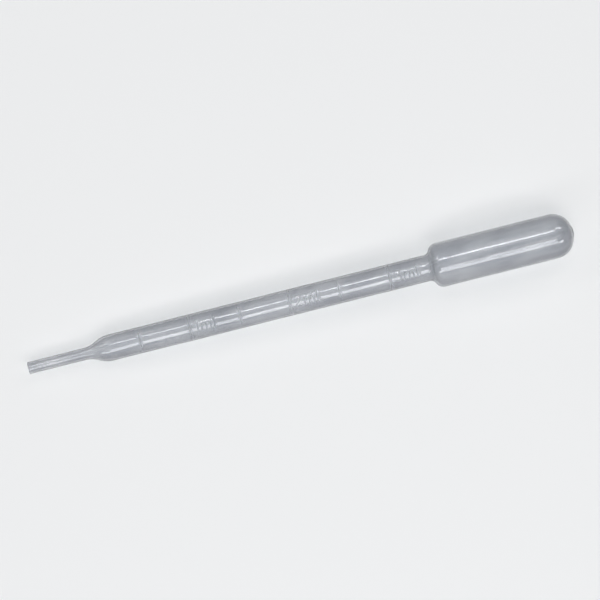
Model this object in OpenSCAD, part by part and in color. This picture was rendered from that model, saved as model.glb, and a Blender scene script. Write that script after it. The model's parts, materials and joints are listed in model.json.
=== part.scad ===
// Graduated dropper pipette, blown in one piece: a narrow tip, a straight graduated stem and a closed squeeze bulb.
// It lies on a table as it comes to rest, on the stem's lower end and the bulb's shoulder, with the tip towards -X
// and the marks upwards. All sizes are in millimetres.

/* [Bulb] */
// Outside diameter of the bulb
bulb_d = 12.6; // [10:0.1:16]
// Length of the bulb's straight side
bulb_len = 33; // [15:0.5:60]
// Rounding of the shoulder, where the bulb's side begins
shoulder_round = 2.6; // [1.5:0.1:4]
// Rounding of the closed end
end_round = 5.6; // [2:0.1:6.2]
// Thickness of the bulb's wall
bulb_wall = 0.4; // [0.25:0.05:0.8]

/* [Stem] */
// Outside diameter of the stem
stem_d = 7.4; // [5:0.1:9]
// Length of the stem's straight tube
stem_len = 93; // [50:1:140]
// Fillet between the stem and the bulb's shoulder
neck_fillet = 1.8; // [1:0.1:4]
// Thickness of the stem's wall
stem_wall = 0.4; // [0.25:0.05:0.8]

/* [Tip] */
// Outside diameter of the tip
tip_d = 3.3; // [2.6:0.1:4.4]
// Length of the tip's straight tube
tip_len = 16.5; // [5:0.5:40]
// Fillet at the taper's narrow end
tip_fillet = 8; // [3:0.5:20]
// Rounding at the taper's wide end
taper_round = 8; // [3:0.5:20]
// Thickness of the tip's wall
tip_wall = 0.55; // [0.3:0.05:0.8]

/* [Graduations] */
// Volume from one mark to the next, in millilitres
step_ml = 0.5; // [0.2:0.1:1]
// One mark in this many is a long one
long_every = 2; // [1:1:5]
// Angle round the stem that a short mark covers
short_arc = 80; // [30:5:160]
// Angle round the stem that a long mark covers
long_arc = 130; // [30:5:160]
// Width of a raised mark
mark_w = 0.9; // [0.3:0.05:1.2]
// Height of a raised mark above the stem
mark_h = 0.2; // [0.05:0.01:0.3]
// Plain stem kept between the last mark and each end
mark_margin = 3; // [1:0.5:10]

/* [Moulding] */
// Width of the fine parting line down both sides
parting_w = 0.3; // [0.1:0.05:0.6]
// Height of the parting line
parting_h = 0.08; // [0.04:0.01:0.2]
// Length of the pinched ridge across the closed end
pinch_len = 5; // [3:0.5:9]
// Thickness of the pinched ridge
pinch_w = 0.8; // [0.4:0.1:1.6]
// Height of the pinched ridge
pinch_h = 0.35; // [0.2:0.05:1.2]

/* [Hidden] */
$fn = 96;

// How far neighbouring stretches of the outline overlap, and the two arcs of a flare where they meet
lap = 0.5;
arc_lap = 0.001;
tip_r = tip_d / 2;
stem_r = stem_d / 2;
bulb_r = bulb_d / 2;
end_r = min(end_round, bulb_r);

// Heights along the axis, from the tip's mouth up
stem_z = tip_len + flare_rise(tip_r, stem_r, tip_fillet, taper_round);
neck_z = stem_z + stem_len;
bulb_z = neck_z + flare_rise(stem_r, bulb_r, neck_fillet, shoulder_round);
cap_z = bulb_z + bulb_len;
end_z = cap_z + end_r;

// Volumes in cubic millimetres: what the stem holds for each millimetre, and what lies below it, with the taper
// taken as a cone
stem_area = PI * pow(stem_r - stem_wall, 2);
below_stem = PI * pow(tip_r - tip_wall, 2) * tip_len
    + cone_volume(tip_r - tip_wall, stem_r - stem_wall, stem_z - tip_len);
mark_step = 1000 * step_ml / stem_area;
mark_count = floor((neck_z - mark_margin - mark_z(0)) / mark_step);
marks = [for (k = [1:max(1, mark_count)]) if (mark_z(k) > stem_z + mark_margin) k];

// At rest one straight line touches the rounding at the taper's wide end and the shoulder's rounding, seen from the
// side. rest_angle is its slope against the axis, and axis_h is how far below the axis it passes under the mouth.
from_taper = [bulb_z - stem_z, (bulb_r - shoulder_round) - (stem_r - taper_round)];
rest_angle = atan2(from_taper.y, from_taper.x) - asin((taper_round - shoulder_round) / norm(from_taper));
axis_h = (stem_r - taper_round) * cos(rest_angle) - stem_z * sin(rest_angle) + taper_round;

// Lowest and highest X of the lying pipette when its mouth's centre is at X 0
mouth_x = -tip_r * sin(rest_angle);
end_x = max(
    cap_z * cos(rest_angle) + (bulb_r - end_r) * sin(rest_angle) + end_r,
    (end_z + pinch_h) * cos(rest_angle) + pinch_w / 2 * sin(rest_angle));

function cone_volume(r1, r2, h) = PI * h * (r1 * r1 + r1 * r2 + r2 * r2) / 3;

function mark_z(k) = stem_z - below_stem / stem_area + k * mark_step;

// Slope angle where the two arcs of a flare meet, and how far the flare reaches along the axis
function flare_lean(r_low, r_high, arc_low, arc_high) =
    acos(max(0, (arc_low + arc_high - r_high + r_low) / (arc_low + arc_high - arc_lap)));
function flare_rise(r_low, r_high, arc_low, arc_high) =
    (arc_low + arc_high - arc_lap) * sin(flare_lean(r_low, r_high, arc_low, arc_high));

// Half outline of a flare from radius r_low up to r_high: a hollow arc, then a round one, with a flat step between
// them where the arcs alone don't span the radii. It runs on straight for a lap at its wide end.
module flare(r_low, r_high, arc_low, arc_high) {
    rise = flare_rise(r_low, r_high, arc_low, arc_high);
    lean = flare_lean(r_low, r_high, arc_low, arc_high);
    low = [r_low + arc_low, 0];
    high = [r_high - arc_high, rise];
    meet = low + arc_low * [-cos(lean), sin(lean)];
    step = [max(0, r_high - r_low - arc_low - arc_high), 0];
    back = min(0, high.x) - 1;
    intersection() {
        square([r_high, rise + lap]);
        union() {
            difference() {
                polygon([
                    [back, 0], low, meet, meet + step, high,
                    [r_high, rise], [r_high, rise + lap], [back, rise + lap]]);
                translate(low) circle(r = arc_low);
            }
            translate(high) circle(r = arc_high);
        }
    }
}

// Half outline of the whole pipette, with its tip, stem and bulb grown outwards by these amounts, or shrunk where
// they are negative
module outline(tip, stem, bulb) {
    taper_rise = flare_rise(tip_r + tip, stem_r + stem, tip_fillet - tip, taper_round + stem);
    shoulder_rise = flare_rise(stem_r + stem, bulb_r + bulb, neck_fillet - stem, shoulder_round + bulb);
    square([tip_r + tip, tip_len + lap]);
    translate([0, tip_len]) flare(tip_r + tip, stem_r + stem, tip_fillet - tip, taper_round + stem);
    translate([0, tip_len + taper_rise]) square([stem_r + stem, neck_z + lap - tip_len - taper_rise]);
    translate([0, neck_z]) flare(stem_r + stem, bulb_r + bulb, neck_fillet - stem, shoulder_round + bulb);
    translate([0, neck_z + shoulder_rise]) square([bulb_r + bulb, cap_z - neck_z - shoulder_rise]);
    translate([0, cap_z]) intersection() {
        translate([0, -lap]) square([bulb_r + bulb, end_r + bulb + lap]);
        union() {
            translate([0, -lap]) square([bulb_r - end_r, end_r + bulb + lap]);
            translate([bulb_r - end_r, 0]) circle(r = end_r + bulb);
        }
    }
}

// The hollow inside, open at the mouth
module bore() {
    rotate_extrude() {
        outline(-tip_wall, -stem_wall, -bulb_wall);
        translate([0, -1]) square([tip_r - tip_wall, 2]);
    }
}

// A thin slice of the outline on both sides of the axis, in the plane where the mould's halves meet
module mould_slice(thickness, grow) {
    rotate([90, 0, 90]) linear_extrude(thickness, center = true) intersection() {
        union() {
            outline(grow, grow, grow);
            mirror([1, 0]) outline(grow, grow, grow);
        }
        children();
    }
}

module parting_line() {
    mould_slice(parting_w, parting_h) translate([-bulb_d, 0]) square([2 * bulb_d, end_z + 1]);
}

module pinch_ridge() {
    mould_slice(pinch_w, pinch_h) translate([-pinch_len / 2, cap_z]) square([pinch_len, 2 * end_r]);
}

// One raised mark round the stem's upper side, with sloping flanks
module mark(arc) {
    rotate([0, 0, 180 - arc / 2]) rotate_extrude(angle = arc) polygon([
        [stem_r - stem_wall / 2, -mark_w / 2], [stem_r, -mark_w / 2], [stem_r + mark_h, -mark_w / 4],
        [stem_r + mark_h, mark_w / 4], [stem_r, mark_w / 2], [stem_r - stem_wall / 2, mark_w / 2]]);
}

module pipette() {
    color([0.80, 0.83, 0.87])
    translate([-(mouth_x + end_x) / 2, 0, axis_h]) rotate([0, 90 - rest_angle, 0]) difference() {
        union() {
            rotate_extrude() outline(0, 0, 0);
            parting_line();
            pinch_ridge();
            for (k = marks) translate([0, 0, mark_z(k)]) mark(k % long_every == 0 ? long_arc : short_arc);
        }
        bore();
    }
}

pipette();
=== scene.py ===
# A graduated dropper pipette of natural polyethylene, lying on a pale table under long soft lights
import json

import bpy
import numpy as np
from mathutils import Matrix, Vector


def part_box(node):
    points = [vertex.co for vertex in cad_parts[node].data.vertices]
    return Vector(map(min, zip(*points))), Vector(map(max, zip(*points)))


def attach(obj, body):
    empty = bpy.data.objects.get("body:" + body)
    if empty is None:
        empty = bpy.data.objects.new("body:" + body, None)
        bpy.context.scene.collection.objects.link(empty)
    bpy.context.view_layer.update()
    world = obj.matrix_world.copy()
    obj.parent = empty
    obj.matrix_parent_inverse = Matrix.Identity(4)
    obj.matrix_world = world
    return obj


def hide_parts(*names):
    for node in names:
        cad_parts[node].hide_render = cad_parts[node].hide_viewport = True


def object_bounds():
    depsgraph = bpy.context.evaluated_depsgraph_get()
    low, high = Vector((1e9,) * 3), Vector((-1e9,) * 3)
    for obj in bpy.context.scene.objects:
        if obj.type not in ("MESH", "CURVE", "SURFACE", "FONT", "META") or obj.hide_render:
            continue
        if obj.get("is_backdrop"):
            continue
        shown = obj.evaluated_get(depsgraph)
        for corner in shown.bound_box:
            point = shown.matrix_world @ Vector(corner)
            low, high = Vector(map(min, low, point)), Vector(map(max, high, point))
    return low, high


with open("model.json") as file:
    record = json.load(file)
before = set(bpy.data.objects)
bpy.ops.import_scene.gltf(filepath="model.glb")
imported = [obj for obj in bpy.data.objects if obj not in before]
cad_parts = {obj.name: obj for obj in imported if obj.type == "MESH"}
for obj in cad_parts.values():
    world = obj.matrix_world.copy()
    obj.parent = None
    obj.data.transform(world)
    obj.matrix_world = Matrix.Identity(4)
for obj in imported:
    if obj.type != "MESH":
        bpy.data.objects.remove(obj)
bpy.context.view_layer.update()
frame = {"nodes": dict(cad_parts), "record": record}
mounts = {mount["name"]: mount for mount in frame["record"]["mounts"]}
boxLow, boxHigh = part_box("pipette")
print("frame loaded:", ", ".join(sorted(frame["nodes"])))


# Shape, in millimetres and degrees
metre = 1000
millilitre = 1000  # in cubic millimetres

partingLine = {
    "width": 0.3,
    "height": 0.08,
    "edge": 0.06,  # how far its sides slope
}

pipetteShape = {
    "tipRadius": mounts["tip_outside"]["dims"]["r_mm"],
    "tipLength": mounts["tip_outside"]["dims"]["length_mm"],
    "tipWall": mounts["tip_outside"]["dims"]["r_mm"] - mounts["tip_mouth"]["dims"]["r_mm"],
    "stemRadius": mounts["stem"]["dims"]["r_mm"],
    "stemLength": mounts["stem"]["dims"]["length_mm"],
    "bulbRadius": metre * (boxHigh.y - boxLow.y) / 2 - partingLine["height"],
    "bulbLength": 33,
    "wall": 0.4,
    "tipFillet": 8,
    "taperRound": 8,
    "neckFillet": 1.8,
    "shoulderRound": 2.6,
    "endRound": 5.6,
    "lipRound": 0.12,
    "flatShare": 0.85,  # of the flat spot in the closed end, up to the fan of triangles at its middle
}

graduations = {
    "stepMl": 0.5,
    "longEvery": 2,
    "mostMarks": 40,
    "shortArc": 80,  # round the stem
    "longArc": 130,
    "satinArc": 160,  # wide enough for every mark and clear of the parting lines
    "width": 0.9,
    "height": 0.2,
    "edge": 0.45,  # half the width, so each one is a rounded ridge
    "endEdge": 0.6,
    "margin": 3,  # plain stem kept at both ends
}

lettering = {
    "unit": "ml",
    "capHeight": 3.1,
    "stroke": 0.56,
    "height": 0.2,
    "edge": 0.28,
    "gap": 0.9,  # from the long mark to the first figure
    "spacing": 0.36,  # between figures, as a share of the cap height
    "margin": 1,  # round a word, in which its strokes are still looked for
}

pinchRidge = {
    "length": 5,
    "width": 0.8,
    "height": 0.35,
    "foot": 0.1,  # how far it spreads past its width on either side
    "edge": 0.45,  # half the width and a little more, so it is rounded
    "endFoot": 0.3,
    "endEdge": 2.6,  # it rises slowly from both ends to the middle
}

# A blown wall is never quite true. Each swell is
# share * sin(height / length + start) * cos(lobes * angle + turn)
wallSwells = {
    "height": 0.012,
    "trueTip": 20,  # from the mouth, over which the swells set in
    "swells": [
        {"share": 1.0, "length": 4.9, "start": 0.7, "lobes": 2, "turn": 0.4},
        {"share": 0.7, "length": 2.3, "start": 2.1, "lobes": 3, "turn": 1.9},
        {"share": 0.8, "length": 7.7, "start": 4.0, "lobes": 1, "turn": 5.1},
    ],
}

# How far apart the rows and columns of points are, in millimetres along the pipette and degrees round it
gridSteps = {
    "lip": 0.05,
    "tip": 1.2,
    "taper": 0.4,
    "neck": 0.16,
    "shoulder": 0.18,
    "bulb": 1.1,
    "dome": 0.17,
    "flat": 0.15,
    "stemFine": 0.1,  # at the marks and figures
    "stemCoarse": 1.3,
    "markSpan": 0.5,  # fine rows on either side of a mark
    "wordSpan": 8.2,  # fine rows after a long mark, for its figures
    "columnFine": 1.4,
    "columnCoarse": 4.5,
    "wordSide": 0.4,  # fine columns on either side of the figures
    "lineSpan": 6,  # fine columns on either side of a parting line
    "arcEndInside": 7,  # fine columns before and after the end of a mark
    "arcEndOutside": 2,
    "insideCoarser": 2.2,  # the smooth inside's rows are this many times as far apart
    "insideStemRows": 30,
}


def arcStroke(centre, radii, fromAngle, toAngle, points=14):
    # an elliptical stroke: centre + radii * (cos t, sin t), t in degrees
    t = np.radians(np.linspace(fromAngle, toAngle, points))
    return np.stack([centre[0] + radii[0] * np.cos(t), centre[1] + radii[1] * np.sin(t)], 1)


# Each figure is a list of strokes in units of the cap height, then its width
figures = {
    "1": ([np.array([(0.0, 0.76), (0.26, 1.0), (0.26, 0.0)])], 0.3),
    "2": ([np.vstack([arcStroke((0.3, 0.7), (0.3, 0.3), 165, -38), [(0.0, 0.0), (0.62, 0.0)]])], 0.62),
    "3": ([np.vstack([arcStroke((0.28, 0.76), (0.26, 0.24), 150, -90),
                      arcStroke((0.28, 0.27), (0.3, 0.27), 90, -150)])], 0.58),
    "m": ([np.array([(0.0, 0.0), (0.0, 0.64)]),
           np.vstack([arcStroke((0.21, 0.42), (0.21, 0.22), 180, 0), [(0.42, 0.0)]]),
           np.vstack([arcStroke((0.63, 0.42), (0.21, 0.22), 180, 0), [(0.84, 0.0)]])], 0.84),
    "l": ([np.array([(0.0, 0.0), (0.0, 1.0)])], 0.02),
}


def softEdge(inside, edge):
    # 0 outside the outline, 1 once `edge` inside it, and 3t^2 - 2t^3 between
    t = np.clip(inside / edge, 0, 1)
    return t * t * (3 - 2 * t)


def even(length, step):
    # shares from 0 to 1, evenly spaced and at most a step apart along the length
    return np.linspace(0, 1, max(2, int(np.ceil(length / step)) + 1))


def unevenSteps(low, high, fineSpans, fineStep, coarseStep, samples=6001):
    # places from low to high, a fine step apart inside the spans and a coarse one outside them: the running
    # sum of 1 / step is cut into equal shares
    place = np.linspace(low, high, samples)
    step = np.full(place.size, float(coarseStep))
    for start, end in fineSpans:
        step[(place > start) & (place < end)] = fineStep
    crowd = np.concatenate([[0], np.cumsum(np.diff(place) / ((step[1:] + step[:-1]) / 2))])
    return np.interp(np.linspace(0, crowd[-1], int(np.ceil(crowd[-1])) + 1), crowd, place)


def flareLean(low, high, hollowArc, roundArc):
    # slope where the hollow and the round arc of a flare meet, from the radii that they have to span
    return np.arccos(np.clip((hollowArc + roundArc - high + low) / (hollowArc + roundArc), 0, 1))


def flareRise(low, high, hollowArc, roundArc):
    # length of a flare along the axis: (hollow arc + round arc) * sin(slope where they meet)
    return (hollowArc + roundArc) * np.sin(flareLean(low, high, hollowArc, roundArc))


def taperRise(shape):
    # length along the axis of the outside's taper, from tip to stem
    return flareRise(shape["tipRadius"], shape["stemRadius"], shape["tipFillet"], shape["taperRound"])


def neckRise(shape):
    # length along the axis of the outside's neck, from stem to bulb
    return flareRise(shape["stemRadius"], shape["bulbRadius"], shape["neckFillet"], shape["shoulderRound"])


def runStretches(start, stretches):
    # A half outline, walked from start. A stretch turns evenly from slope a0 to a1 over its length, with
    # radius = r0 + R (cos a0 - cos a), height = z0 + R (sin a - sin a0) and R = length / (a1 - a0), or runs
    # straight where they are the same.
    radius = [np.array([start[0]])]
    height = [np.array([start[1]])]
    slope = [np.array([stretches[0][0]])]
    for a0, a1, length, share in stretches:
        r0, z0 = radius[-1][-1], height[-1][-1]
        a = a0 + (a1 - a0) * share[1:]
        if a0 == a1:
            radius.append(r0 + length * share[1:] * np.sin(a0))
            height.append(z0 + length * share[1:] * np.cos(a0))
        else:
            turn = length / (a1 - a0)
            radius.append(r0 + turn * (np.cos(a0) - np.cos(a)))
            height.append(z0 + turn * (np.sin(a) - np.sin(a0)))
        slope.append(a)
    return np.concatenate(radius), np.concatenate(height), np.concatenate(slope)


def halfOutline(shape, inward, stemPlaces, coarser):
    # from the mouth up to the closed end, with every wall moved in by its own thickness where inward is 1
    tip = shape["tipRadius"] - inward * shape["tipWall"]
    stem = shape["stemRadius"] - inward * shape["wall"]
    bulb = shape["bulbRadius"] - inward * shape["wall"]
    tipFillet = shape["tipFillet"] + inward * shape["tipWall"]
    taperRound = shape["taperRound"] - inward * shape["wall"]
    neckFillet = shape["neckFillet"] + inward * shape["wall"]
    shoulderRound = shape["shoulderRound"] - inward * shape["wall"]
    endRound = shape["endRound"] - inward * shape["wall"]
    taperLean = flareLean(tip, stem, tipFillet, taperRound)
    neckLean = flareLean(stem, bulb, neckFillet, shoulderRound)
    # the inside's tapers are a little longer or shorter, and its straight runs take up the difference
    stemRun = shape["stemLength"] + taperRise(shape) - flareRise(tip, stem, tipFillet, taperRound)
    bulbRun = shape["bulbLength"] + neckRise(shape) - flareRise(stem, bulb, neckFillet, shoulderRound)
    lip, right = shape["lipRound"], np.pi / 2
    lipTurn = right if inward < 1 else -right
    start = (tip - lip, 0.0) if inward < 1 else (tip + lip, 0.0)
    flatEnd = bulb - endRound
    steps = {name: step * coarser for name, step in gridSteps.items()}
    stretches = [
        (lipTurn, 0.0, lip * right, even(lip * right, gridSteps["lip"])),
        (0.0, 0.0, shape["tipLength"] - lip, even(shape["tipLength"], steps["tip"])),
        (0.0, taperLean, tipFillet * taperLean, even(tipFillet * taperLean, steps["taper"])),
        (taperLean, 0.0, taperRound * taperLean, even(taperRound * taperLean, steps["taper"])),
        (0.0, 0.0, stemRun, stemPlaces / stemPlaces[-1]),
        (0.0, neckLean, neckFillet * neckLean, even(neckFillet * neckLean, steps["neck"])),
        (neckLean, 0.0, shoulderRound * neckLean, even(shoulderRound * neckLean, steps["shoulder"])),
        (0.0, 0.0, bulbRun, even(bulbRun, steps["bulb"])),
        (0.0, -right, endRound * right, even(endRound * right, steps["dome"])),
        (-right, -right, flatEnd * shape["flatShare"], even(flatEnd, steps["flat"])),
    ]
    return runStretches(start, stretches)


def markPlaces(shape, marks):
    # the volume below a mark is a whole number of steps: tip and taper first, then a straight bore
    tipBore, stemBore = shape["tipRadius"] - shape["tipWall"], shape["stemRadius"] - shape["wall"]
    taper = taperRise(shape)
    area = np.pi * stemBore ** 2
    below = np.pi * tipBore ** 2 * shape["tipLength"]
    below += np.pi * taper * (tipBore ** 2 + tipBore * stemBore + stemBore ** 2) / 3
    number = np.arange(1, marks["mostMarks"])
    height = (number * millilitre * marks["stepMl"] - below) / area  # above the stem's lower end
    kept = (height > marks["margin"]) & (height < shape["stemLength"] - marks["margin"])
    return number[kept], height[kept], shape["tipLength"] + taper


def writeFigures(text, style):
    # the strokes of a word as segments (x0, y0, x1, y1) in millimetres, and its length
    segments, x = [], 0.0
    for sign in text:
        strokes, width = figures[sign]
        for stroke in strokes:
            points = stroke * style["capHeight"] + (x, -style["capHeight"] / 2)
            segments.append(np.hstack([points[:-1], points[1:]]))
        x += (width + style["spacing"]) * style["capHeight"]
    return np.vstack(segments), x - style["spacing"] * style["capHeight"]


def strokeDistance(x, y, segments):
    # distance from each grid point to the nearest segment: |p - a - t (b - a)|, t kept within 0 to 1
    ax, ay, bx, by = (segments[:, k, None, None] for k in range(4))
    dx, dy = bx - ax, by - ay
    t = np.clip(((x - ax) * dx + (y - ay) * dy) / (dx * dx + dy * dy), 0, 1)
    return np.hypot(x - ax - t * dx, y - ay - t * dy).min(0)


def mouldedEdges(radius, height, angle):
    # height of the parting lines down both sides and of the pinched ridge across the closed end, which both
    # lie where the mould's halves meet
    across, out = np.abs(radius * np.cos(angle)), radius * np.abs(np.sin(angle))
    line = softEdge(partingLine["width"] / 2 + partingLine["edge"] / 2 - across, partingLine["edge"])
    ridge = softEdge(pinchRidge["width"] / 2 + pinchRidge["foot"] - across, pinchRidge["edge"])
    ridge = ridge * softEdge(pinchRidge["length"] / 2 + pinchRidge["endFoot"] - out, pinchRidge["endEdge"])
    onDome = height > height.max() - pipetteShape["endRound"]
    return np.maximum(partingLine["height"] * line, pinchRidge["height"] * ridge * onDome)


def addWord(relief, x, y, word):
    # raises a word's strokes in the relief, where x runs from its first figure along the stem and y round it
    segments, length = writeFigures(word, lettering)
    rows = (x[:, 0] > -lettering["margin"]) & (x[:, 0] < length + lettering["margin"])
    columns = np.abs(y[0]) < lettering["capHeight"] / 2 + lettering["margin"]
    block = np.ix_(rows, columns)
    distance = strokeDistance(x[block], y[block], segments)
    raised = lettering["height"] * softEdge(lettering["stroke"] / 2 - distance, lettering["edge"])
    relief[block] = np.maximum(relief[block], raised)


def reliefHeight(radius, height, angle, stemStart, numbers, heights):
    # how far the outside stands out at each grid point, the highest of all that is raised there, and 0 to 1
    # for how much of it is a mark or a figure
    relief = mouldedEdges(radius, height, angle)
    around = pipetteShape["stemRadius"] * angle
    for number, place in zip(numbers, heights):
        isLong = number % graduations["longEvery"] == 0
        arc = graduations["longArc" if isLong else "shortArc"]
        halfArc = np.radians(arc / 2) * pipetteShape["stemRadius"]
        along = height - stemStart - place
        mark = softEdge(graduations["width"] / 2 - np.abs(along), graduations["edge"])
        mark = mark * softEdge(halfArc - np.abs(around), graduations["endEdge"])
        relief = np.maximum(relief, graduations["height"] * mark)
        if isLong:
            word = f"{number * graduations['stepMl']:g}" + lettering["unit"]
            addWord(relief, along - graduations["width"] / 2 - lettering["gap"], around, word)
    onStem = (height > stemStart) & (height < stemStart + pipetteShape["stemLength"])
    onStem = onStem & (np.abs(angle) < np.radians(graduations["satinArc"] / 2))
    return relief, np.clip(relief / graduations["height"], 0, 1) * onStem


def wallWaves(height, angle):
    # the sum of the wall's swells, setting in evenly from the mouth
    waves = 0
    for swell in wallSwells["swells"]:
        lengthwise = np.sin(height / swell["length"] + swell["start"])
        waves = waves + swell["share"] * lengthwise * np.cos(swell["lobes"] * angle + swell["turn"])
    return wallSwells["height"] * waves * np.clip(height / wallSwells["trueTip"], 0, 1)


def rowPlaces(numbers, heights):
    # heights of the stem's rows above its lower end, close together at the marks and figures
    spans = [(place - gridSteps["markSpan"], place + gridSteps["markSpan"]) for place in heights]
    for number, place in zip(numbers, heights):
        if number % graduations["longEvery"] == 0:
            spans.append((place + gridSteps["markSpan"], place + gridSteps["wordSpan"]))
    fine, coarse = gridSteps["stemFine"], gridSteps["stemCoarse"]
    return unevenSteps(0, pipetteShape["stemLength"], spans, fine, coarse)


def columnAngles():
    # angles round the pipette from its top, close together at the figures, parting lines and marks' ends
    word = np.degrees((lettering["capHeight"] / 2 + gridSteps["wordSide"]) / pipetteShape["stemRadius"])
    spans = [(-word, word)]
    for side in (-90, 90):
        spans.append((side - gridSteps["lineSpan"], side + gridSteps["lineSpan"]))
    for arc in ("shortArc", "longArc"):
        end = graduations[arc] / 2
        spans.append((end - gridSteps["arcEndInside"], end + gridSteps["arcEndOutside"]))
        spans.append((-end - gridSteps["arcEndOutside"], -end + gridSteps["arcEndInside"]))
    fine, coarse = gridSteps["columnFine"], gridSteps["columnCoarse"]
    return np.radians(unevenSteps(-180, 180, spans, fine, coarse)[:-1])


def pipetteFrame():
    # the mouth's centre, and unit vectors along the axis, up across it and sideways
    mouth = mounts["tip_mouth"]
    along = -Vector(mouth["axis"]).normalized()
    centre = Vector(mouth["pos_m"]) - along * mouth["dims"]["length_mm"] / 2 / metre
    up = (Vector((0, 0, 1)) - along * along.z).normalized()
    return tuple(np.array(v) for v in (centre, along, up, up.cross(along)))


def buildPipette():
    # One closed skin: point = mouth + height * along + radius * (cos(angle) * up + sin(angle) * side).
    # Rows run from the closed end's inside down to the mouth and back up the outside; columns go once round.
    numbers, heights, stemStart = markPlaces(pipetteShape, graduations)
    columns = columnAngles()
    outer = halfOutline(pipetteShape, 0, rowPlaces(numbers, heights), 1)
    insideRows = np.linspace(0, 1, gridSteps["insideStemRows"])
    inner = halfOutline(pipetteShape, 1, insideRows, gridSteps["insideCoarser"])

    outR, outZ, outSlope = (values[:, None] + 0 * columns for values in outer)
    angle = columns[None, :] + 0 * outR
    lift, engraved = reliefHeight(outR, outZ, angle, stemStart, numbers, heights)
    lift += wallWaves(outZ, angle) * np.cos(outSlope)
    outR, outZ = outR + lift * np.cos(outSlope), outZ - lift * np.sin(outSlope)
    inR, inZ, inSlope = (values[::-1, None] + 0 * columns for values in inner)
    inR = inR + wallWaves(inZ, columns[None, :] + 0 * inR) * np.cos(inSlope)

    radius, height = np.vstack([inR, outR]), np.vstack([inZ, outZ])
    centre, along, up, side = pipetteFrame()
    turned = np.cos(columns)[None, :, None] * up + np.sin(columns)[None, :, None] * side
    points = centre + (height[..., None] * along + radius[..., None] * turned) / metre
    innerPole = centre + inZ[0].mean() * along / metre
    outerPole = centre + outZ[-1].max() * along / metre
    vertices = np.vstack([points.reshape(-1, 3), innerPole, outerPole])

    rowCount, columnCount = radius.shape
    index = np.arange(rowCount * columnCount).reshape(rowCount, columnCount)
    nextOne = np.roll(index, -1, axis=1)
    quads = np.stack([index[:-1], index[1:], nextOne[1:], nextOne[:-1]], -1).reshape(-1, 4)
    poleIn, poleOut = index.size, index.size + 1
    fanIn = np.stack([np.full(columnCount, poleIn), index[0], nextOne[0]], -1)
    fanOut = np.stack([index[-1], np.full(columnCount, poleOut), nextOne[-1]], -1)

    mesh = bpy.data.meshes.new("pipette_body")
    mesh.from_pydata(vertices.tolist(), [], quads.tolist() + fanIn.tolist() + fanOut.tolist())
    mesh.shade_smooth()
    mesh.update()
    satin = mesh.attributes.new("engraved", "FLOAT", "POINT")  # 1 on what is cut into the mould
    satin.data.foreach_set("value", np.concatenate([np.zeros(inR.size), engraved.ravel(), [0, 0]]))
    piece = bpy.data.objects.new("pipette_body", mesh)
    bpy.context.scene.collection.objects.link(piece)
    triangles = 2 * len(quads) + len(fanIn) + len(fanOut)
    print(f"pipette: {rowCount} rows, {columnCount} columns, {triangles} triangles, {len(numbers)} marks")
    return piece


# Finishes
def linearColour(code, alpha=1.0):
    # an sRGB hex colour as linear values
    srgb = np.array([int(code[k:k + 2], 16) for k in (1, 3, 5)]) / 255
    linear = np.where(srgb <= 0.04045, srgb / 12.92, ((srgb + 0.055) / 1.055) ** 2.4)
    return (*linear.tolist(), alpha)


def addNode(tree, kind, inputs=None, **settings):
    # A node with its settings, and its inputs set to values or linked to sockets. A Mix node takes its factor
    # at 0, numbers at 2 and 3 and colours at 6 and 7, and gives a number at 0 and a colour at 2.
    node = tree.nodes.new(kind)
    for name, value in settings.items():
        setattr(node, name, value)
    for name, value in (inputs or {}).items():
        if isinstance(value, bpy.types.NodeSocket):
            tree.links.new(value, node.inputs[name])
        else:
            node.inputs[name].default_value = value
    return node


polyethylene = {
    "clear": "#e1e2e4",  # where the wall is seen square on
    "edge": "#878a91",  # where it is seen edge on: partly the longer path through the wall, partly painted shade that darkens the tube's edges
    "edgeBlend": 0.35,
    "cloud": "#c3c5ca",
    "cloudSize": 9.0,  # mm, slow changes of the blown wall
    "streakWidth": 1.1,  # mm, drawn along the tube; finer ones wouldn't show
    "streakStretch": 0.03,  # their width as a share of their length
    "streakShare": 0.6,  # of the streaks in the milkiness, and the rest is clouds
    "milkyRange": (0.38, 0.62),  # of the noise, from clear to cloudy
    "ior": 1.51,
    "transmission": 0.9,
    "roughness": (0.08, 0.16),
    "roughRange": (0.3, 0.7),  # of the streaks' noise, from smooth to rough
    "engravedRoughness": 0.38,  # the mould is polished, but not where marks are cut into it
    "streakHeight": 0.03,  # mm
    "streakStrength": 0.4,
    "grainSize": 0.35,  # mm
    "grainHeight": 0.004,  # mm
    "grainStrength": 0.3,
    "shadowTint": "#ebecec",
}


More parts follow.
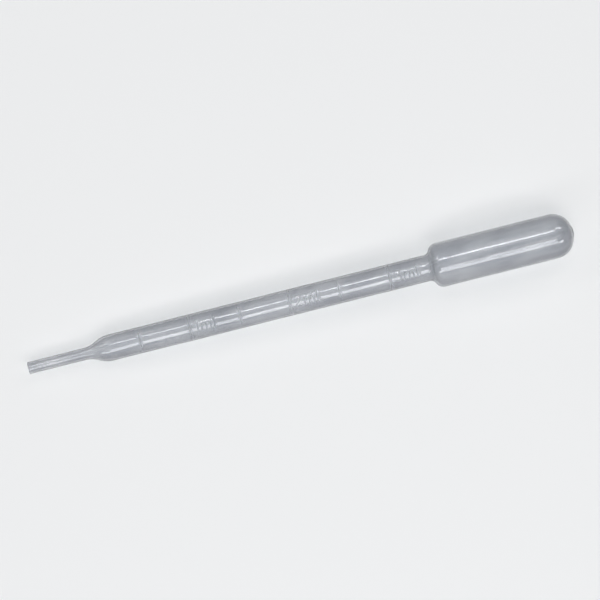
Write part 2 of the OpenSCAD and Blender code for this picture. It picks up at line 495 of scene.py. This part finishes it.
def naturalPolyethylene(look):
    # Low-density polyethylene without pigment, blown in a polished mould: a waxy, slightly milky plastic that
    # lets light through, glossy outside, with faint streaks along the tube from the drawing of the hot sleeve
    material = bpy.data.materials.new("natural_ldpe_blown")
    material.use_nodes = True
    tree = material.node_tree
    tree.nodes.clear()
    inMetres = addNode(tree, "ShaderNodeTexCoord").outputs["Object"]
    place = addNode(tree, "ShaderNodeMapping", {
        "Vector": inMetres,
        "Scale": (metre, metre, metre),
    }).outputs["Vector"]
    drawn = addNode(tree, "ShaderNodeMapping", {
        "Vector": place,
        "Scale": (look["streakStretch"], 1, 1),
    }).outputs["Vector"]
    cloud = addNode(tree, "ShaderNodeTexNoise", {
        "Vector": place,
        "Scale": 1 / look["cloudSize"],
        "Detail": 2.0,
    }).outputs["Fac"]
    streak = addNode(tree, "ShaderNodeTexNoise", {
        "Vector": drawn,
        "Scale": 1 / look["streakWidth"],
        "Detail": 3.0,
    }).outputs["Fac"]
    grain = addNode(tree, "ShaderNodeTexNoise", {
        "Vector": place,
        "Scale": 1 / look["grainSize"],
        "Detail": 2.0,
    }).outputs["Fac"]

    # colour: clear to cloudy, and deeper towards the edges of the tube, partly from the longer path through
    # the wall and partly as painted shade
    milky = addNode(tree, "ShaderNodeMix", {0: look["streakShare"], 2: cloud, 3: streak}).outputs[0]
    milky = addNode(tree, "ShaderNodeMapRange", {
        "Value": milky,
        "From Min": look["milkyRange"][0],
        "From Max": look["milkyRange"][1],
    }).outputs["Result"]
    body = addNode(tree, "ShaderNodeMix", {
        0: milky,
        6: linearColour(look["clear"]),
        7: linearColour(look["cloud"]),
    }, data_type="RGBA").outputs[2]
    # painted shade: the dark edge colour stands in for the tube's shaded edges as well as for the depth of
    # the wall
    colour = addNode(tree, "ShaderNodeMix", {
        0: addNode(tree, "ShaderNodeLayerWeight", {"Blend": look["edgeBlend"]}).outputs["Facing"],
        6: body,
        7: linearColour(look["edge"]),
    }, data_type="RGBA").outputs[2]

    # gloss: it varies a little with the streaks, and marks and figures are satin
    rough = addNode(tree, "ShaderNodeMapRange", {
        "Value": streak,
        "From Min": look["roughRange"][0],
        "From Max": look["roughRange"][1],
        "To Min": look["roughness"][0],
        "To Max": look["roughness"][1],
    }).outputs["Result"]
    engraved = addNode(tree, "ShaderNodeAttribute", attribute_name="engraved").outputs["Fac"]
    satin = addNode(tree, "ShaderNodeMix", {0: engraved, 2: rough, 3: look["engravedRoughness"]}).outputs[0]
    streakBump = addNode(tree, "ShaderNodeBump", {
        "Height": streak,
        "Strength": look["streakStrength"],
        "Distance": look["streakHeight"] / metre,
    }).outputs["Normal"]
    grainBump = addNode(tree, "ShaderNodeBump", {
        "Height": grain,
        "Strength": look["grainStrength"],
        "Distance": look["grainHeight"] / metre,
        "Normal": streakBump,
    }).outputs["Normal"]

    plastic = addNode(tree, "ShaderNodeBsdfPrincipled", {
        "Base Color": colour,
        "Roughness": satin,
        "IOR": look["ior"],
        "Transmission Weight": look["transmission"],
        "Normal": grainBump,
    }).outputs[0]
    # light from the lamps passes, so the shadow is that of a thin clear wall
    passing = addNode(tree, "ShaderNodeBsdfTransparent", {"Color": linearColour(look["shadowTint"])})
    shadow = addNode(tree, "ShaderNodeLightPath").outputs["Is Shadow Ray"]
    mixed = addNode(tree, "ShaderNodeMixShader", {0: shadow, 1: plastic, 2: passing.outputs[0]})
    addNode(tree, "ShaderNodeOutputMaterial", {"Surface": mixed.outputs[0]})
    return material


# Stage
stageLook = {
    "floorColour": "#f1f2f3",
    "floorSize": 12.0,  # metres
    "litRadius": (0.14, 0.5),  # metres; past the lamps' reach the table shows its own colour
}

lights = {
    "distance": 1.0,  # metres from the pipette
    "lamps": {  # lean to +Y and reach to +X, in degrees off the vertical; size in metres; power in watts
        "upper": {"lean": 27, "reach": 0, "size": (0.56, 0.1), "power": 1.6},
        "lower": {"lean": -29, "reach": 0, "size": (0.56, 0.46), "power": 3.3},
        "bulbLeft": {"lean": 42, "reach": 36, "size": (0.52, 0.16), "power": 1.3},
        "bulbRight": {"lean": -42, "reach": 36, "size": (0.52, 0.16), "power": 1.3},
        "tipLeft": {"lean": 42, "reach": -31, "size": (0.56, 0.16), "power": 1.4},
        "tipRight": {"lean": -42, "reach": -31, "size": (0.56, 0.16), "power": 1.4},
    },
    "worldTop": 0.27,
    "worldHorizon": 0.16,
}

cameraView = {
    "rise": 14.1,  # degrees that the pipette climbs to the right
    "lens": 135,
    "fill": 0.92,  # share of the picture's width that the pipette spans
}


def backgroundRay(tree):
    # 1 for rays that show the background: to the camera, mirrored or passed through
    path = addNode(tree, "ShaderNodeLightPath").outputs
    seen = path["Is Camera Ray"]
    for kind in ("Is Glossy Ray", "Is Transmission Ray"):
        seen = addNode(tree, "ShaderNodeMath", {0: seen, 1: path[kind]}, operation="MAXIMUM").outputs[0]
    return seen


def buildFloor():
    # flat square: (u, v) times half its size
    half = stageLook["floorSize"] / 2
    corners = half * np.array([(-1, -1), (1, -1), (1, 1), (-1, 1)])
    mesh = bpy.data.meshes.new("table_top")
    mesh.from_pydata(np.hstack([corners, np.zeros((4, 1))]).tolist(), [], [(0, 1, 2, 3)])
    floor = bpy.data.objects.new("table_top", mesh)
    bpy.context.scene.collection.objects.link(floor)
    material = bpy.data.materials.new("matte_laminate")
    material.use_nodes = True
    tree = material.node_tree
    tree.nodes.clear()
    colour = linearColour(stageLook["floorColour"])
    place = addNode(tree, "ShaderNodeTexCoord").outputs["Object"]
    reach = addNode(tree, "ShaderNodeVectorMath", {0: place}, operation="LENGTH").outputs["Value"]
    far = addNode(tree, "ShaderNodeMapRange", {
        "Value": reach,
        "From Min": stageLook["litRadius"][0],
        "From Max": stageLook["litRadius"][1],
    }, interpolation_type="SMOOTHSTEP").outputs["Result"]
    lit = addNode(tree, "ShaderNodeBsdfDiffuse", {"Color": colour})
    own = addNode(tree, "ShaderNodeEmission", {"Color": colour, "Strength": 1.0})
    seen = addNode(tree, "ShaderNodeMath", {0: far, 1: backgroundRay(tree)}, operation="MULTIPLY").outputs[0]
    mixed = addNode(tree, "ShaderNodeMixShader", {0: seen, 1: lit.outputs[0], 2: own.outputs[0]})
    addNode(tree, "ShaderNodeOutputMaterial", {"Surface": mixed.outputs[0]})
    mesh.materials.append(material)
    floor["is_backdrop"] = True


def buildLights():
    # Each lamp is a strip along X that faces the pipette. Two run above it on either side, and the two over
    # each end light it for a view from the other end.
    for name, strip in lights["lamps"].items():
        data = bpy.data.lights.new(name, "AREA")
        data.shape = "RECTANGLE"
        data.size, data.size_y = strip["size"]
        data.energy = strip["power"]
        lamp = bpy.data.objects.new(name, data)
        lean = Matrix.Rotation(-np.radians(strip["lean"]), 4, "X")
        reach = Matrix.Rotation(np.radians(strip["reach"]), 4, "Y")
        lamp.matrix_world = lean @ reach @ Matrix.Translation((0, 0, lights["distance"]))
        bpy.context.scene.collection.objects.link(lamp)


def buildWorld():
    # brighter overhead than at the horizon, and the floor's own colour where it is seen
    world = bpy.data.worlds.new("studio")
    bpy.context.scene.world = world
    world.use_nodes = True
    tree = world.node_tree
    tree.nodes.clear()
    ray = addNode(tree, "ShaderNodeTexCoord").outputs["Generated"]
    rise = addNode(tree, "ShaderNodeSeparateXYZ", {0: ray}).outputs["Z"]
    strength = addNode(tree, "ShaderNodeMapRange", {
        "Value": rise,
        "To Min": lights["worldHorizon"],
        "To Max": lights["worldTop"],
    }).outputs["Result"]
    around = addNode(tree, "ShaderNodeBackground", {"Color": (1, 1, 1, 1), "Strength": strength}).outputs[0]
    seen = addNode(tree, "ShaderNodeBackground", {
        "Color": linearColour(stageLook["floorColour"]),
        "Strength": 1.0,
    }).outputs[0]
    mixed = addNode(tree, "ShaderNodeMixShader", {0: backgroundRay(tree), 1: around, 2: seen})
    addNode(tree, "ShaderNodeOutputWorld", {"Surface": mixed.outputs[0]})


def buildCamera():
    # straight above the pipette's middle, rolled so that it climbs to the right
    low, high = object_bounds()
    data = bpy.data.cameras.new("camera")
    data.lens = cameraView["lens"]
    data.dof.use_dof = False
    camera = bpy.data.objects.new("camera", data)
    rise = np.radians(cameraView["rise"])
    width = (high.x - low.x) * np.cos(rise) / cameraView["fill"]
    distance = width * data.lens / data.sensor_width
    middle = (low + high) / 2
    camera.location = (middle.x, middle.y, high.z + distance)
    camera.rotation_euler = (0, 0, -rise)
    bpy.context.scene.collection.objects.link(camera)
    bpy.context.scene.camera = camera


pipette = buildPipette()
pipette.data.materials.append(naturalPolyethylene(polyethylene))
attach(pipette, "root")
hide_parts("pipette")
print("pipette finished")

buildFloor()
buildLights()
buildWorld()
buildCamera()
bpy.context.scene.view_settings.view_transform = "Standard"
print("stage, lights and camera ready")
